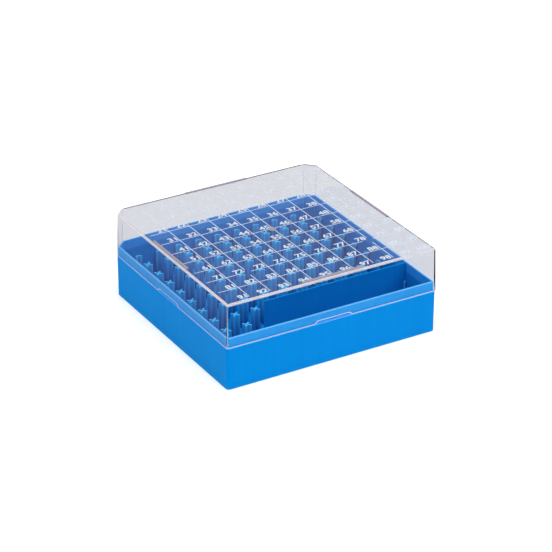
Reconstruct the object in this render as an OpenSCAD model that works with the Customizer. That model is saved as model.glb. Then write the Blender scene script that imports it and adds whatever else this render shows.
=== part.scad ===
// Cryogenic storage box for a 10 x 10 grid of vials, all sizes in millimetres.
// A coloured base tray carries free-standing posts between the vials, and a clear lid
// slips over the tray's collar and lifts straight off.
// The origin is at the centre of the underside. +X runs to the right along the front
// face, +Y runs to the two cut corners at the back, and +Z is up.

/* [Box] */
// Outside width and depth at the seam between base and lid
box_w = 133; // [125:0.5:140]
// Height of the closed box, up to the lid's flat top
box_h = 51.6; // [48:0.2:56]
// Height of the seam
seam_z = 25.3; // [23:0.2:28]
// Leg of the two cut corners at the back
corner_cut = 5.9; // [3:0.1:8]
// Radius of the base's two front corners
corner_r = 2; // [1.5:0.1:3.5]
// Radius of the lid's two front corners
lid_corner_r = 0.8; // [0.5:0.1:2]
// How far each side of the base leans in towards its foot
base_draft = 0.1; // [0.05:0.05:0.8]
// How far each side of the lid leans in towards its top
lid_draft = 0.6; // [0.1:0.05:0.8]
// How far each side of the lid's inside leans in towards its top
lid_inner_draft = 0.3; // [0.1:0.05:0.4]

/* [Walls] */
// Thickness of the lid's skirt
skirt_t = 1.05; // [0.9:0.05:1.2]
// Thickness of the lid's top
lid_top_t = 1.3; // [1:0.1:2]
// Gap all round between the skirt and the collar
lid_gap = 0.15; // [0.1:0.05:0.3]
// Gap under the skirt's edge when the lid is on
seam_gap = 0.1; // [0.05:0.05:0.2]
// Thickness of the base's collar
collar_t = 1; // [0.8:0.05:1.2]
// Height of the collar's rim
rim_z = 31.2; // [29:0.2:34]
// Thickness of the floor
floor_t = 1.8; // [1.5:0.1:2.5]

/* [Vial grid] */
// Distance between neighbouring vials
pitch = 12.85; // [12.8:0.05:12.95]
// Height of the posts' tops
post_top_z = 20; // [15:0.5:24]
// Length of a post's arms, tip to tip
post_span = 5.6; // [4:0.1:5.6]
// Thickness of a post's arms
post_t = 1; // [0.8:0.1:1.4]
// Thickness of the divider
divider_t = 0.8; // [0.6:0.1:1.2]
// Row of posts, counted from the front, that the divider stands in
divider_row = 2; // [2:1:8]
// Column of posts, counted from the left, where the divider starts
divider_col = 3; // [2:1:8]

/* [Finger notches] */
// Width of a notch along the seam
notch_w = 23.5; // [16:0.5:30]
// Width of a notch at its top
notch_top_w = 19.5; // [12:0.5:24]
// Height of a notch above the skirt's edge
notch_h = 1.5; // [1:0.1:3]

/* [Stacking] */
// Length of a stacking rib
rib_l = 40; // [20:1:60]
// Width of a stacking rib
rib_w = 1.6; // [1:0.1:2.5]
// Height of a stacking rib above the lid
rib_h = 0.6; // [0.4:0.1:0.8]
// Distance of a rib's outer edge from the edge of the lid's top
rib_inset = 0.9; // [0.6:0.1:2]
// Width of the flat rim that the base stands on
foot_w = 5; // [3:0.5:10]
// Depth of the recess inside that rim
foot_recess = 0.4; // [0.2:0.1:0.8]

/* [Printed grid] */
// Distance between the printed lines
print_pitch = 12.95; // [12.8:0.05:13.1]
// How far the print sits to the right of the lid's middle
print_right = 0.8; // [-1:0.1:1]
// How far the print sits behind the lid's middle
print_back = 0.4; // [-1:0.1:1]
// Width of a printed line
line_w = 0.45; // [0.3:0.05:0.8]
// Thickness of the ink
ink_t = 0.05; // [0.03:0.01:0.1]
// Distance from the lid's edge at which the lines stop
print_margin = 2.7; // [2.6:0.1:6]
// Diameter of the round blanks that four crossings leave
blank_d = 6.6; // [4:0.1:8]
// Diameter of the moulding gate's disc in the middle of the lid
gate_d = 4.4; // [3:0.1:6]
// How far the gate's disc stands above the lid
gate_h = 0.1; // [0.05:0.05:0.3]

/* [Hidden] */
$fn = 48;
eps = 0.01;
half_w = box_w / 2;
lines = 9;
columns = [1 : lines];
last = lines + 1;
corner_steps = 8;
inner_corner_r = 0.4;
foot_chamfer = 0.3;
rim_chamfer = 0.25;
lid_edge_chamfer = 0.5;
corner_diagonal = 2 - sqrt(2);
collar_inset = skirt_t + lid_gap;
cavity_inset = collar_inset + collar_t;
inner_half = half_w - cavity_inset;
lid_bottom_z = seam_z + seam_gap;
print_half = half_w - lid_draft - print_margin;
rib_centre = half_w - lid_draft - rib_inset - rib_w / 2;
blank_lines = [2, 8];
row_names = [for (j = columns) str("post_row_", j)];
rib_names = ["stack_rib_front", "stack_rib_right", "stack_rib_back", "stack_rib_left"];
base_names = ["base_tray", "front_wall_posts", "back_wall_posts", "divider"];
lid_names = ["lid_shell", "lid_gate_disc", "grid_print"];
base_blue = [0.02, 0.5, 0.88];
lid_clear = [0.85, 0.88, 0.95, 0.3];
ink_white = [0.96, 0.97, 1];

// Place of grid line i along X or Y, where line 5 is the middle of the box.
function line_at(i, step) = (i - (lines + 1) / 2) * step;

// Quarter circle of radius r round [x, y], from the angle start on, in corner_steps steps.
function quarter(x, y, r, start) = [
    for (i = [0 : corner_steps])
        let (angle = start + 90 * i / corner_steps)
        [x + r * cos(angle), y + r * sin(angle)]
];

// Outline of the box, moved in by inset all round: front corners of radius round, cut back ones.
module plan(inset, round) {
    h = half_w - inset;
    cut = corner_cut - inset * corner_diagonal;
    r = max(round - inset, inner_corner_r);
    polygon(concat(
        quarter(r - h, r - h, r, 180),
        quarter(h - r, r - h, r, 270),
        [[h, h - cut], [h - cut, h], [cut - h, h], [-h, h - cut]]
    ));
}

// Straight-sided block from z0 to z1 with the box's outline.
module block(inset, z0, z1) {
    translate([0, 0, z0]) linear_extrude(z1 - z0) plan(inset, corner_r);
}

// Block whose sides lean in by lean0 at z0 and by lean1 at z1.
module leaning_block(inset, z0, lean0, z1, lean1, round = corner_r) {
    wide = half_w - inset;
    translate([0, 0, z0])
        linear_extrude(z1 - z0, scale = (wide - lean1) / (wide - lean0))
            scale((wide - lean0) / wide)
                plan(inset, round);
}

// Wide block whose sides slope at 45 degrees up to its small top, which is size inside the outline.
module top_bevel(inset, z0, z1, size, round = corner_r) {
    leaning_block(inset, z0, size + z0 - z1, z1, size, round);
}

// The same, upside down.
module foot_bevel(inset, z0, z1, size) {
    leaning_block(inset, z0, size, z1, size + z0 - z1);
}

// Trapezoid of a finger notch, drawn in the XZ plane with its long side at z.
module notch_cutter(z, depth) {
    translate([0, -half_w + depth / 2, z])
        rotate([90, 0, 0])
            linear_extrude(depth + 2, center = true)
                polygon([
                    [-notch_w / 2, -1], [notch_w / 2, -1], [notch_w / 2, 0],
                    [notch_top_w / 2, notch_h], [-notch_top_w / 2, notch_h], [-notch_w / 2, 0]
                ]);
}

// Copies the children to the front, right, back and left side.
module on_four_sides() {
    for (turn = [0 : 90 : 270]) {
        rotate(turn) children();
    }
}

module base_tray() {
    color(base_blue) difference() {
        union() {
            intersection() {
                leaning_block(0, 0, base_draft, seam_z, 0);
                foot_bevel(0, 0, seam_z, base_draft + foot_chamfer);
            }
            intersection() {
                block(collar_inset, floor_t, rim_z);
                top_bevel(collar_inset, floor_t, rim_z, rim_chamfer);
            }
        }
        block(cavity_inset, floor_t, rim_z + 1);
        block(base_draft + foot_chamfer + foot_w, -1, foot_recess);
    }
}

// Outline of one post: two arms crossed on the diagonals, with round ends.
module post_outline() {
    reach = (post_span - post_t) / 2;
    for (turn = [45, 135]) {
        rotate(turn) {
            square([2 * reach, post_t], center = true);
            for (side = [-1, 1]) {
                translate([side * reach, 0]) circle(d = post_t, $fn = 24);
            }
        }
    }
}

// Place of row or column i of the posts; the first and the last lie on the walls.
function post_at(i) = i == 0 ? -inner_half : i == last ? inner_half : line_at(i, pitch);

// Posts of one row at the given columns, cut off flush where they meet the walls.
module post_outlines(row, cols) {
    intersection() {
        square(2 * inner_half, center = true);
        for (i = cols) {
            translate([post_at(i), post_at(row)]) post_outline();
        }
    }
}

// Outline of the divider, which stands in for the posts of its row from its start on.
module divider_outline() {
    start = post_at(divider_col) - post_span * sqrt(2) / 4;
    translate([start, post_at(divider_row) - divider_t / 2])
        square([inner_half - start, divider_t]);
}

module stand_up(top) {
    color(base_blue) translate([0, 0, floor_t]) linear_extrude(top - floor_t) children();
}

module post_row(row) {
    stand_up(post_top_z) {
        if (row == divider_row) {
            post_outlines(row, [0 : divider_col - 1]);
            difference() {
                post_outlines(row, [last]);
                divider_outline();
            }
        } else {
            post_outlines(row, [0 : last]);
        }
    }
}

module wall_posts(row) {
    stand_up(post_top_z) post_outlines(row, columns);
}

module divider() {
    stand_up(rim_z) divider_outline();
}

module lid_shell() {
    inner_top = box_h - lid_top_t;
    color(lid_clear) difference() {
        intersection() {
            leaning_block(0, lid_bottom_z, 0, box_h, lid_draft, lid_corner_r);
            top_bevel(0, lid_bottom_z, box_h, lid_draft + lid_edge_chamfer, lid_corner_r);
        }
        leaning_block(skirt_t, lid_bottom_z - eps, 0, inner_top, lid_inner_draft, lid_corner_r);
        on_four_sides() notch_cutter(lid_bottom_z, 4);
    }
}

module stack_rib(turn) {
    reach = (rib_l - rib_w) / 2;
    color(lid_clear) rotate(turn) translate([0, -rib_centre, box_h]) linear_extrude(rib_h) {
        square([2 * reach, rib_w], center = true);
        for (side = [-1, 1]) {
            translate([side * reach, 0]) circle(d = rib_w);
        }
    }
}

// Round blanks in the printed lines, and the gate's disc.
module print_blanks() {
    circle(d = gate_d);
    for (i = blank_lines, j = blank_lines) {
        translate([line_at(i, print_pitch), line_at(j, print_pitch)]) circle(d = blank_d);
    }
}

// Nine lines each way, printed on the lid's top.
module grid_print() {
    color(ink_white) translate([0, 0, box_h]) linear_extrude(ink_t) difference() {
        for (i = columns) {
            translate([line_at(i, print_pitch) + print_right, 0])
                square([line_w, 2 * print_half], center = true);
            translate([0, line_at(i, print_pitch) + print_back])
                square([2 * print_half, line_w], center = true);
        }
        print_blanks();
    }
}

module lid_gate_disc() {
    color(lid_clear) translate([0, 0, box_h]) cylinder(d = gate_d, h = gate_h);
}

base_tray();
wall_posts(0);  // front_wall_posts
wall_posts(last);  // back_wall_posts
divider();
for (j = columns) post_row(j);
lid_shell();
lid_gate_disc();
grid_print();
for (i = [0 : 3]) stack_rib(i * 90);
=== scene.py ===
import math

import bpy
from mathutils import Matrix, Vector


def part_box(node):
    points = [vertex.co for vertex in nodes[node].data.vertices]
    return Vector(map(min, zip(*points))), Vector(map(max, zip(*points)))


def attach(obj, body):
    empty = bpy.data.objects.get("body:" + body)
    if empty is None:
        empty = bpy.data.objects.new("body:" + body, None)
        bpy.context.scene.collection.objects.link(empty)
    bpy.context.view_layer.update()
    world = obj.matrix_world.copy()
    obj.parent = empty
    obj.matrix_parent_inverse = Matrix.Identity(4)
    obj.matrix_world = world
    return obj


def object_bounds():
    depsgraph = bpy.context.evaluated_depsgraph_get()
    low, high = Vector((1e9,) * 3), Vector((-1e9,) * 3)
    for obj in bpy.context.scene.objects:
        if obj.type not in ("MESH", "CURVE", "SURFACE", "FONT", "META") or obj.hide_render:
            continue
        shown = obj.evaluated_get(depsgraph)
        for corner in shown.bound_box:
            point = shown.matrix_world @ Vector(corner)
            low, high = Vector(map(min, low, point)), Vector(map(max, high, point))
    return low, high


# Looks of a cryogenic storage box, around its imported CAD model. Everything is in metres, in the
# CAD frame: origin at the centre of the underside, +X right along the front, +Z up.
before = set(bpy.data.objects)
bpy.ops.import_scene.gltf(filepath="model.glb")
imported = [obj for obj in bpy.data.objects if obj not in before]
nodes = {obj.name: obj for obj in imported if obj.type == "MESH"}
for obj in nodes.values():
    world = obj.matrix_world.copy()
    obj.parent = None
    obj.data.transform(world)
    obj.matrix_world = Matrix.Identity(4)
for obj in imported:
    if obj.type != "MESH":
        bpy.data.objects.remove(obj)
cad_low, cad_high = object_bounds()
MM = 0.001

# Camera, at the photograph's viewing angle
CAMERA_AZIMUTH = math.radians(-30.54)
CAMERA_ELEVATION = math.radians(27.45)
CAMERA_ROLL = math.radians(0.14)
CAMERA_DISTANCE = 1.3866
CAMERA_AIM = Vector((0.0014, -0.0022, 0.0227))
CAMERA_LENS_MM = 160.7

# Blues of the base, and the heights between which they change: painted shade low on the posts
# that turns to painted light at their tops, and a collar painted paler.
# The base's rounded edges have a painted highlight, a paler blue than its faces.
BLUE = (0.0, 0.225, 0.625)
COLLAR_PAINTED_LIGHT_BLUE = (0.03, 0.33, 0.75)
EDGE_PAINTED_HIGHLIGHT_BLUE = (0.16, 0.4, 0.76)
POST_PAINTED_LIT_BLUE = (0.05, 0.42, 0.8)
POST_PAINTED_SHADE_BLUE = (0.01, 0.14, 0.41)
POST_PAINTED_SHADE_HEIGHTS = (4 * MM, 19 * MM)
COLLAR_PAINTED_LIGHT_HEIGHTS = (24.8 * MM, 26.3 * MM)

# The base's plastic: how much it shines, how far light goes in, and its streaks and grain
BASE_IOR = 1.49
BASE_SHINE = 0.08
BASE_SHEEN_TINT = (0.05, 0.5, 1, 1)
BASE_SCATTER = 0.4
BASE_SCATTER_COLOURS = (0.2, 0.6, 1.0)
BASE_SCATTER_DEPTH = 3 * MM
STREAK_SCALE = 400
STREAK_STRETCH = (1, 1, 0.03)
STREAK_VALUES = (0.92, 1.08)
GRAIN_SCALE = 5000
GRAIN_ROUGHNESS = (0.3, 0.42)
GRAIN_HEIGHT = 0.01 * MM

# Printed numbers
GRID_COUNT = 10
PRINT_PITCH = 12.95 * MM
PRINT_RIGHT = 0.8 * MM
PRINT_BACK = 0.4 * MM
DIGIT_HEIGHT = 4.2 * MM
DIGIT_GAP_X = 0.8 * MM
DIGIT_GAP_Y = 0.9 * MM
DIGIT_STRETCH = 1.12
DIGIT_BOLDNESS = 0.024
DIGIT_CURVE_STEPS = 4
INK_THICKNESS = 0.05 * MM
INK_COLOURS = (0.43, 0.49, 0.56), (0.5, 0.56, 0.63)
INK_ROUGHNESS = 0.6
INK_MOTTLE_SCALE = 3000
INK_MOTTLE_HEIGHT = 0.005 * MM

# Clear plastic: refraction, colour left after one surface, and faint waves of its surface
LID_IOR = 1.58
LID_TINT = (0.95, 0.955, 0.965, 1)
LID_BLUR = 0.01
LID_GLOSS_BLUR = 0.03
LID_WAVE_SCALE = 60
LID_WAVE_HEIGHT = 0.002 * MM
LID_SHADOW_TINT = (0.99, 0.99, 1, 1)
TOTAL_REFLECTION = 0.98

# Milky plastic of the ribs, the whitish painted highlight on the lid's rounded edges, and the
# share of each that scatters
RIB_COLOURS = (0.26, 0.22, 0.26), (0.38, 0.33, 0.37)
RIB_SHARE = 0.75
LID_EDGE_PAINTED_HIGHLIGHT_COLOURS = (0.86, 0.82, 0.86), (0.94, 0.92, 0.95)
LID_EDGE_PAINTED_HIGHLIGHT_SHARE = 0.55
MILKY_TINT = (0.9, 0.9, 0.94, 1)
MILKY_ROUGHNESS = 0.6
MILKY_SCALE = 400

# Rounded edges: their widths, and the smallest angle that is rounded
TRAY_EDGE = 0.2 * MM
POST_EDGE = 0.15 * MM
POST_EDGE_STEPS = 2
DIVIDER_EDGE = 0.2 * MM
LID_EDGE = 0.34 * MM
RIB_EDGE = 0.25 * MM
EDGE_STEPS = 3
EDGE_ANGLE = math.radians(30)
WELD_REACH = 0.001 * MM

# Brightness of the surround, as a light at its horizon and zenith and as a reflection
WORLD_HORIZON = 0.2
WORLD_ZENITH = 1.1
WORLD_REFLECTED = 0.6
WORLD_COLOUR = (1, 0.98, 0.99, 1)

# The floor: its paper, its glow, how much darker it is painted through the clear plastic, and the
# dark painted reflection shown in its place, left of the box and everywhere else
FLOOR_HALF = 4
PAPER_COLOURS = (0.79, 0.79, 0.8), (0.81, 0.81, 0.82)
PAPER_ROUGHNESS = 0.9
PAPER_SCALE = 40
FLOOR_GLOW = 0.2
FLOOR_DIMMING = 0.3
PAINTED_DARK_FLOOR_LEFT = (0.17, 0.16, 0.17)
PAINTED_DARK_FLOOR_ELSEWHERE = (0.02, 0.02, 0.02)

# Lights: place, width and power in watts
KEY_LIGHT = (0.7, -0.75, 1.2), 1.3, 10.5
TOP_LIGHT = (-0.4, -0.3, 1.4), 1.0, 11.5

# Bounces after which a ray counts as caught in the clear plastic
CAUGHT_DEPTH = 5


# Nodes of a material

def new_material(name):
    material = bpy.data.materials.new(name)
    material.use_nodes = True
    tree = material.node_tree
    tree.nodes.clear()
    return material, tree


def add_node(tree, kind, **inputs):
    node = tree.nodes.new(kind)
    for name, value in inputs.items():
        node.inputs[name.replace("_", " ")].default_value = value
    return node


def noise(tree, scale, detail=2.0, stretch=(1, 1, 1)):
    """A noise texture fixed to the object, with its features stretched by 1 / stretch."""
    place = add_node(tree, "ShaderNodeTexCoord")
    mapping = add_node(tree, "ShaderNodeMapping", Scale=stretch)
    texture = add_node(tree, "ShaderNodeTexNoise", Scale=scale, Detail=detail)
    tree.links.new(place.outputs["Object"], mapping.inputs["Vector"])
    tree.links.new(mapping.outputs["Vector"], texture.inputs["Vector"])
    return texture.outputs["Fac"]


def spread(tree, value, low, high):
    """Maps a value from 0..1 to low..high."""
    mapped = add_node(tree, "ShaderNodeMapRange", To_Min=low, To_Max=high)
    tree.links.new(value, mapped.inputs["Value"])
    return mapped.outputs["Result"]


def math_node(tree, operation, first, second):
    """The result of an operation on two sockets or numbers, kept within 0..1."""
    made = tree.nodes.new("ShaderNodeMath")
    made.operation = operation
    made.use_clamp = True
    for socket, value in zip(made.inputs, (first, second)):
        if isinstance(value, (int, float)):
            socket.default_value = value
        else:
            tree.links.new(value, socket)
    return made.outputs["Value"]


def colour_mix(tree, value, first, second):
    mix = tree.nodes.new("ShaderNodeMix")
    mix.data_type = "RGBA"
    mix.inputs["A"].default_value = (*first, 1)
    mix.inputs["B"].default_value = (*second, 1)
    tree.links.new(value, mix.inputs["Factor"])
    return mix.outputs["Result"]


def bump(tree, height, distance):
    made = add_node(tree, "ShaderNodeBump", Strength=1.0, Distance=distance)
    tree.links.new(height, made.inputs["Height"])
    return made.outputs["Normal"]


def output(tree, shader):
    made = tree.nodes.new("ShaderNodeOutputMaterial")
    tree.links.new(shader, made.inputs["Surface"])


# Materials

def fade_by_height(tree, below, above, heights):
    """A colour that goes from below to above between two heights."""
    place = tree.nodes.new("ShaderNodeTexCoord")
    axes = tree.nodes.new("ShaderNodeSeparateXYZ")
    tree.links.new(place.outputs["Object"], axes.inputs["Vector"])
    low, high = heights
    fade = add_node(tree, "ShaderNodeMapRange", From_Min=low, From_Max=high)
    tree.links.new(axes.outputs["Z"], fade.inputs["Value"])
    return colour_mix(tree, fade.outputs["Result"], below, above)


def base_plastic(name, below, above, heights=(0, 1)):
    """Blue moulded plastic: satin, with faint flow streaks that run down the walls.

    Its colour goes from below to above between two heights, which paints shade and light on the
    posts and a paler collar. A plain colour is given twice.
    """
    material, tree = new_material(name)
    shader = add_node(
        tree, "ShaderNodeBsdfPrincipled", IOR=BASE_IOR, Specular_IOR_Level=BASE_SHINE,
        Specular_Tint=BASE_SHEEN_TINT, Subsurface_Weight=BASE_SCATTER,
        Subsurface_Radius=BASE_SCATTER_COLOURS, Subsurface_Scale=BASE_SCATTER_DEPTH,
    )
    streaks = noise(tree, STREAK_SCALE, detail=3, stretch=STREAK_STRETCH)
    grain = noise(tree, GRAIN_SCALE, detail=3)
    streaked = tree.nodes.new("ShaderNodeHueSaturation")
    tree.links.new(fade_by_height(tree, below, above, heights), streaked.inputs["Color"])
    tree.links.new(spread(tree, streaks, *STREAK_VALUES), streaked.inputs["Value"])
    tree.links.new(streaked.outputs["Color"], shader.inputs["Base Color"])
    tree.links.new(spread(tree, grain, *GRAIN_ROUGHNESS), shader.inputs["Roughness"])
    tree.links.new(bump(tree, grain, GRAIN_HEIGHT), shader.inputs["Normal"])
    output(tree, shader.outputs["BSDF"])
    return material


def light_path_mix(tree, shader, clear):
    """Shows shader to rays that see it, and clear to rays that only carry light through it.

    A ray that stays caught inside the plastic is let out too, as it would be in a real edge.
    """
    path = tree.nodes.new("ShaderNodeLightPath")
    carries = math_node(tree, "GREATER_THAN", path.outputs["Ray Depth"], CAUGHT_DEPTH)
    for kind in ("Is Shadow Ray", "Is Diffuse Ray"):
        carries = math_node(tree, "MAXIMUM", carries, path.outputs[kind])
    mix = tree.nodes.new("ShaderNodeMixShader")
    tree.links.new(carries, mix.inputs["Fac"])
    tree.links.new(shader, mix.inputs[1])
    tree.links.new(clear, mix.inputs[2])
    return mix.outputs["Shader"]


def lid_plastic():
    """Clear plastic that really refracts, and lets light through to what is under it.

    Its outer faces mirror what is around it, its inner faces only where nothing gets through.
    """
    material, tree = new_material("lid_plastic")
    waves = bump(tree, noise(tree, LID_WAVE_SCALE, detail=1), LID_WAVE_HEIGHT)
    through = add_node(
        tree, "ShaderNodeBsdfRefraction", IOR=LID_IOR, Roughness=LID_BLUR, Color=LID_TINT
    )
    gloss = add_node(tree, "ShaderNodeBsdfGlossy", Roughness=LID_GLOSS_BLUR)
    fresnel = add_node(tree, "ShaderNodeFresnel", IOR=LID_IOR)
    for shader in (through, gloss, fresnel):
        tree.links.new(waves, shader.inputs["Normal"])
    caught = math_node(tree, "GREATER_THAN", fresnel.outputs["Fac"], TOTAL_REFLECTION)
    side = tree.nodes.new("ShaderNodeNewGeometry")
    outside = math_node(tree, "SUBTRACT", 1, side.outputs["Backfacing"])
    mirrored = math_node(tree, "MULTIPLY", fresnel.outputs["Fac"], outside)
    glass = tree.nodes.new("ShaderNodeMixShader")
    tree.links.new(math_node(tree, "MAXIMUM", caught, mirrored), glass.inputs["Fac"])
    tree.links.new(through.outputs["BSDF"], glass.inputs[1])
    tree.links.new(gloss.outputs["BSDF"], glass.inputs[2])
    clear = add_node(tree, "ShaderNodeBsdfTransparent", Color=LID_SHADOW_TINT)
    output(tree, light_path_mix(tree, glass.outputs["Shader"], clear.outputs["BSDF"]))
    return material


def milky_plastic_and_painted_highlight(name, colours, share):
    """The lid's plastic where it is thick, and its rounded edges painted whitish as a highlight:
    part of it scatters light.
    """
    material, tree = new_material(name)
    scatter = add_node(tree, "ShaderNodeBsdfPrincipled", Roughness=MILKY_ROUGHNESS)
    haze = noise(tree, MILKY_SCALE)
    tree.links.new(colour_mix(tree, haze, *colours), scatter.inputs["Base Color"])
    clear = add_node(tree, "ShaderNodeBsdfTransparent", Color=MILKY_TINT)
    mix = add_node(tree, "ShaderNodeMixShader", Fac=share)
    tree.links.new(clear.outputs["BSDF"], mix.inputs[1])
    tree.links.new(scatter.outputs["BSDF"], mix.inputs[2])
    output(tree, mix.outputs["Shader"])
    return material


def white_ink():
    """Screen-printed white ink, a little uneven."""
    material, tree = new_material("white_ink")
    shader = add_node(tree, "ShaderNodeBsdfPrincipled", Roughness=INK_ROUGHNESS)
    mottle = noise(tree, INK_MOTTLE_SCALE)
    tree.links.new(colour_mix(tree, mottle, *INK_COLOURS), shader.inputs["Base Color"])
    tree.links.new(bump(tree, mottle, INK_MOTTLE_HEIGHT), shader.inputs["Normal"])
    output(tree, shader.outputs["BSDF"])
    return material


def reflected_ray(tree, path):
    """Is 1 for a ray that was reflected, and 0 for one that only went through plastic."""
    glossy, refracted = path.outputs["Is Glossy Ray"], path.outputs["Is Transmission Ray"]
    return math_node(tree, "SUBTRACT", glossy, refracted)


def painted_dark_floor(tree):
    """The dark colour painted in place of the floor's reflection, paler left of the box."""
    place = tree.nodes.new("ShaderNodeTexCoord")
    axes = tree.nodes.new("ShaderNodeSeparateXYZ")
    tree.links.new(place.outputs["Object"], axes.inputs["Vector"])
    left = math_node(tree, "LESS_THAN", axes.outputs["X"], cad_low.x)
    painted_dark = tree.nodes.new("ShaderNodeBsdfDiffuse")
    tree.links.new(colour_mix(tree, left, PAINTED_DARK_FLOOR_ELSEWHERE, PAINTED_DARK_FLOOR_LEFT), painted_dark.inputs["Color"])
    return painted_dark.outputs["BSDF"]


def floor_paper():
    """White paper, with a dark painted reflection in its place and painted dimmer through
    plastic.
    """
    material, tree = new_material("floor_paper")
    paper = add_node(
        tree, "ShaderNodeBsdfPrincipled", Roughness=PAPER_ROUGHNESS,
        Emission_Color=(1, 1, 1, 1), Emission_Strength=FLOOR_GLOW,
    )
    fibres = noise(tree, PAPER_SCALE)
    tree.links.new(colour_mix(tree, fibres, *PAPER_COLOURS), paper.inputs["Base Color"])
    path = tree.nodes.new("ShaderNodeLightPath")
    through = math_node(tree, "MULTIPLY", path.outputs["Is Transmission Ray"], FLOOR_DIMMING)
    # Reflections get the painted dark floor, and rays through plastic get part of it as painted
    # dimming
    painted_dark_share = math_node(tree, "MAXIMUM", reflected_ray(tree, path), through)
    mix = tree.nodes.new("ShaderNodeMixShader")
    tree.links.new(painted_dark_share, mix.inputs["Fac"])
    tree.links.new(paper.outputs["BSDF"], mix.inputs[1])
    tree.links.new(painted_dark_floor(tree), mix.inputs[2])
    output(tree, mix.outputs["Shader"])
    return material


# CAD nodes

def dress(name, material, edge=0.0, segments=EDGE_STEPS, edge_material=None):
    """Gives a CAD node its material and, where edge isn't 0, softly rounded edges.

    The rounded edges can have a material of their own.
    """
    node = nodes[name]
    node.data.materials.clear()
    node.data.materials.append(material)
    if edge_material:
        node.data.materials.append(edge_material)
    if not edge:
        return
    weld = node.modifiers.new("weld", "WELD")
    weld.merge_threshold = WELD_REACH
    bevel = node.modifiers.new("soft_edges", "BEVEL")
    bevel.width = edge
    bevel.segments = segments
    bevel.limit_method = "ANGLE"
    bevel.angle_limit = EDGE_ANGLE
    bevel.use_clamp_overlap = False
    bevel.material = 1 if edge_material else -1
    normals = node.modifiers.new("even_normals", "WEIGHTED_NORMAL")
    normals.keep_sharp = False


# Printed numbers

def digits_mesh(text):
    """The mesh of a number with its lower right corner at the origin, in bold digits."""
    curve = bpy.data.curves.new("digits", "FONT")
    curve.body = text
    curve.size = 1.0
    curve.offset = DIGIT_BOLDNESS
    curve.extrude = 0.5
    curve.resolution_u = DIGIT_CURVE_STEPS
    holder = bpy.data.objects.new("digits", curve)
    bpy.context.scene.collection.objects.link(holder)
    mesh = bpy.data.meshes.new_from_object(
        holder.evaluated_get(bpy.context.evaluated_depsgraph_get())
    )
    bpy.data.objects.remove(holder)
    low = [min(v.co[i] for v in mesh.vertices) for i in range(3)]
    high = [max(v.co[i] for v in mesh.vertices) for i in range(3)]
    size = DIGIT_HEIGHT / (high[1] - low[1])
    for v in mesh.vertices:
        v.co.x = (v.co.x - high[0]) * size * DIGIT_STRETCH
        v.co.y = (v.co.y - low[1]) * size
        v.co.z = (v.co.z - low[2]) * INK_THICKNESS / (high[2] - low[2])
    return mesh


def number_row(row, top_z, material):
    """The numbers of one row of cells, where row 0 is at the back and starts with 1."""
    vertices, faces = [], []
    for column in range(GRID_COUNT):
        mesh = digits_mesh(str(row * GRID_COUNT + column + 1))
        right = (column + 1 - GRID_COUNT / 2) * PRINT_PITCH + PRINT_RIGHT - DIGIT_GAP_X
        bottom = (GRID_COUNT / 2 - 1 - row) * PRINT_PITCH + PRINT_BACK + DIGIT_GAP_Y
        start = len(vertices)
        vertices += [(v.co.x + right, v.co.y + bottom, v.co.z + top_z) for v in mesh.vertices]
        faces += [[start + i for i in f.vertices] for f in mesh.polygons]
        bpy.data.meshes.remove(mesh)
    mesh = bpy.data.meshes.new(f"numbers_row_{row + 1}")
    mesh.from_pydata(vertices, [], faces)
    mesh.materials.append(material)
    piece = bpy.data.objects.new(f"numbers_row_{row + 1}", mesh)
    bpy.context.scene.collection.objects.link(piece)
    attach(piece, "lid")


# Studio

def area_light(name, place, width, power):
    """A square light that shines at the origin."""
    light = bpy.data.lights.new(name, "AREA")
    light.shape = "SQUARE"
    light.size = width
    light.energy = power
    holder = bpy.data.objects.new(name, light)
    holder.location = place
    holder.rotation_euler = (-Vector(place)).to_track_quat("-Z", "Y").to_euler()
    bpy.context.scene.collection.objects.link(holder)


def make_floor(material):
    half = FLOOR_HALF
    corners = [(-half, -half, 0), (half, -half, 0), (half, half, 0), (-half, half, 0)]
    mesh = bpy.data.meshes.new("floor")
    mesh.from_pydata(corners, [], [(0, 1, 2, 3)])
    mesh.materials.append(material)
    floor = bpy.data.objects.new("floor", mesh)
    bpy.context.scene.collection.objects.link(floor)


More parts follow.
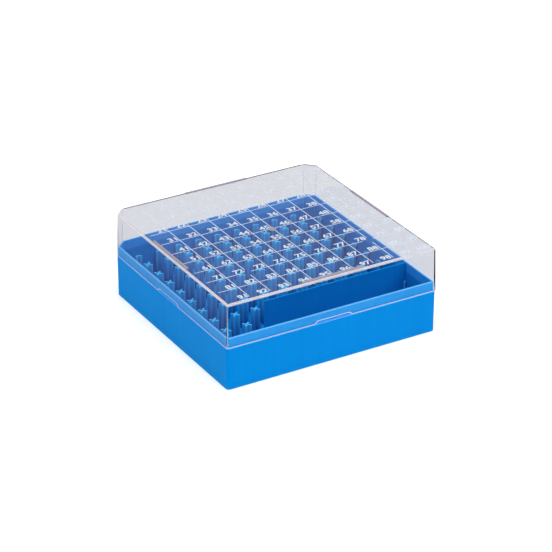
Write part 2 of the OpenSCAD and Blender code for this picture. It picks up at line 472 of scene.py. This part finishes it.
def make_world():
    """A white surround that is dimmer in reflections than it is as a light."""
    world = bpy.data.worlds.new("studio")
    world.use_nodes = True
    tree = world.node_tree
    path = tree.nodes.new("ShaderNodeLightPath")
    background = tree.nodes["Background"]
    background.inputs["Color"].default_value = WORLD_COLOUR
    place = tree.nodes.new("ShaderNodeTexCoord")
    direction = tree.nodes.new("ShaderNodeSeparateXYZ")
    tree.links.new(place.outputs["Generated"], direction.inputs["Vector"])
    strength = tree.nodes.new("ShaderNodeMix")
    strength.inputs["B"].default_value = WORLD_REFLECTED
    lit = spread(tree, direction.outputs["Z"], WORLD_HORIZON, WORLD_ZENITH)
    tree.links.new(lit, strength.inputs["A"])
    tree.links.new(reflected_ray(tree, path), strength.inputs["Factor"])
    tree.links.new(strength.outputs["Result"], background.inputs["Strength"])
    bpy.context.scene.world = world


def make_camera():
    back = Vector((
        math.sin(CAMERA_AZIMUTH) * math.cos(CAMERA_ELEVATION),
        -math.cos(CAMERA_AZIMUTH) * math.cos(CAMERA_ELEVATION),
        math.sin(CAMERA_ELEVATION),
    ))
    camera = bpy.data.objects.new("camera", bpy.data.cameras.new("camera"))
    camera.data.lens = CAMERA_LENS_MM
    camera.location = CAMERA_AIM + back * CAMERA_DISTANCE
    camera.rotation_euler = (-back).to_track_quat("-Z", "Y").to_euler()
    camera.rotation_euler.rotate_axis("Z", CAMERA_ROLL)
    bpy.context.scene.collection.objects.link(camera)
    bpy.context.scene.camera = camera


# Base plastic whose collar above the shoulder is painted paler: painted light
base_blue_painted_light_collar = base_plastic("base_plastic", BLUE, COLLAR_PAINTED_LIGHT_BLUE, COLLAR_PAINTED_LIGHT_HEIGHTS)
solid = base_plastic("thick_base_plastic", BLUE, BLUE)
# Posts: painted shade near their bottoms, painted light near their tops
thin_painted_shade = base_plastic("thin_base_plastic_painted_shade", POST_PAINTED_SHADE_BLUE, POST_PAINTED_LIT_BLUE, POST_PAINTED_SHADE_HEIGHTS)
# Painted highlight for the tray's rounded edges
edge_painted_highlight = base_plastic("base_edges_painted_highlight", EDGE_PAINTED_HIGHLIGHT_BLUE, EDGE_PAINTED_HIGHLIGHT_BLUE)
clear = lid_plastic()
ink = white_ink()
milky = milky_plastic_and_painted_highlight("rib_plastic", RIB_COLOURS, RIB_SHARE)
# Whitish painted highlight for the lid's rounded edges
edges = milky_plastic_and_painted_highlight("lid_edges_painted_highlight", LID_EDGE_PAINTED_HIGHLIGHT_COLOURS, LID_EDGE_PAINTED_HIGHLIGHT_SHARE)

# The tray: collar painted paler, and rounded edges with the painted highlight
dress("base_tray", base_blue_painted_light_collar, TRAY_EDGE, edge_material=edge_painted_highlight)
for name in nodes:
    if name.startswith("post_row") or name.endswith("wall_posts"):
        dress(name, thin_painted_shade, POST_EDGE, segments=POST_EDGE_STEPS)
dress("divider", solid, DIVIDER_EDGE)
# The lid's rounded edges get the whitish painted highlight
dress("lid_shell", clear, LID_EDGE, edge_material=edges)
dress("lid_gate_disc", milky)
for side in ("front", "right", "back", "left"):
    dress(f"stack_rib_{side}", milky, RIB_EDGE)
dress("grid_print", ink)

lid_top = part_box("lid_shell")[1].z
for row in range(GRID_COUNT):
    number_row(row, lid_top, ink)

make_floor(floor_paper())
make_world()
area_light("key", *KEY_LIGHT)
area_light("top", *TOP_LIGHT)
make_camera()
bpy.context.scene.view_settings.view_transform = "Standard"
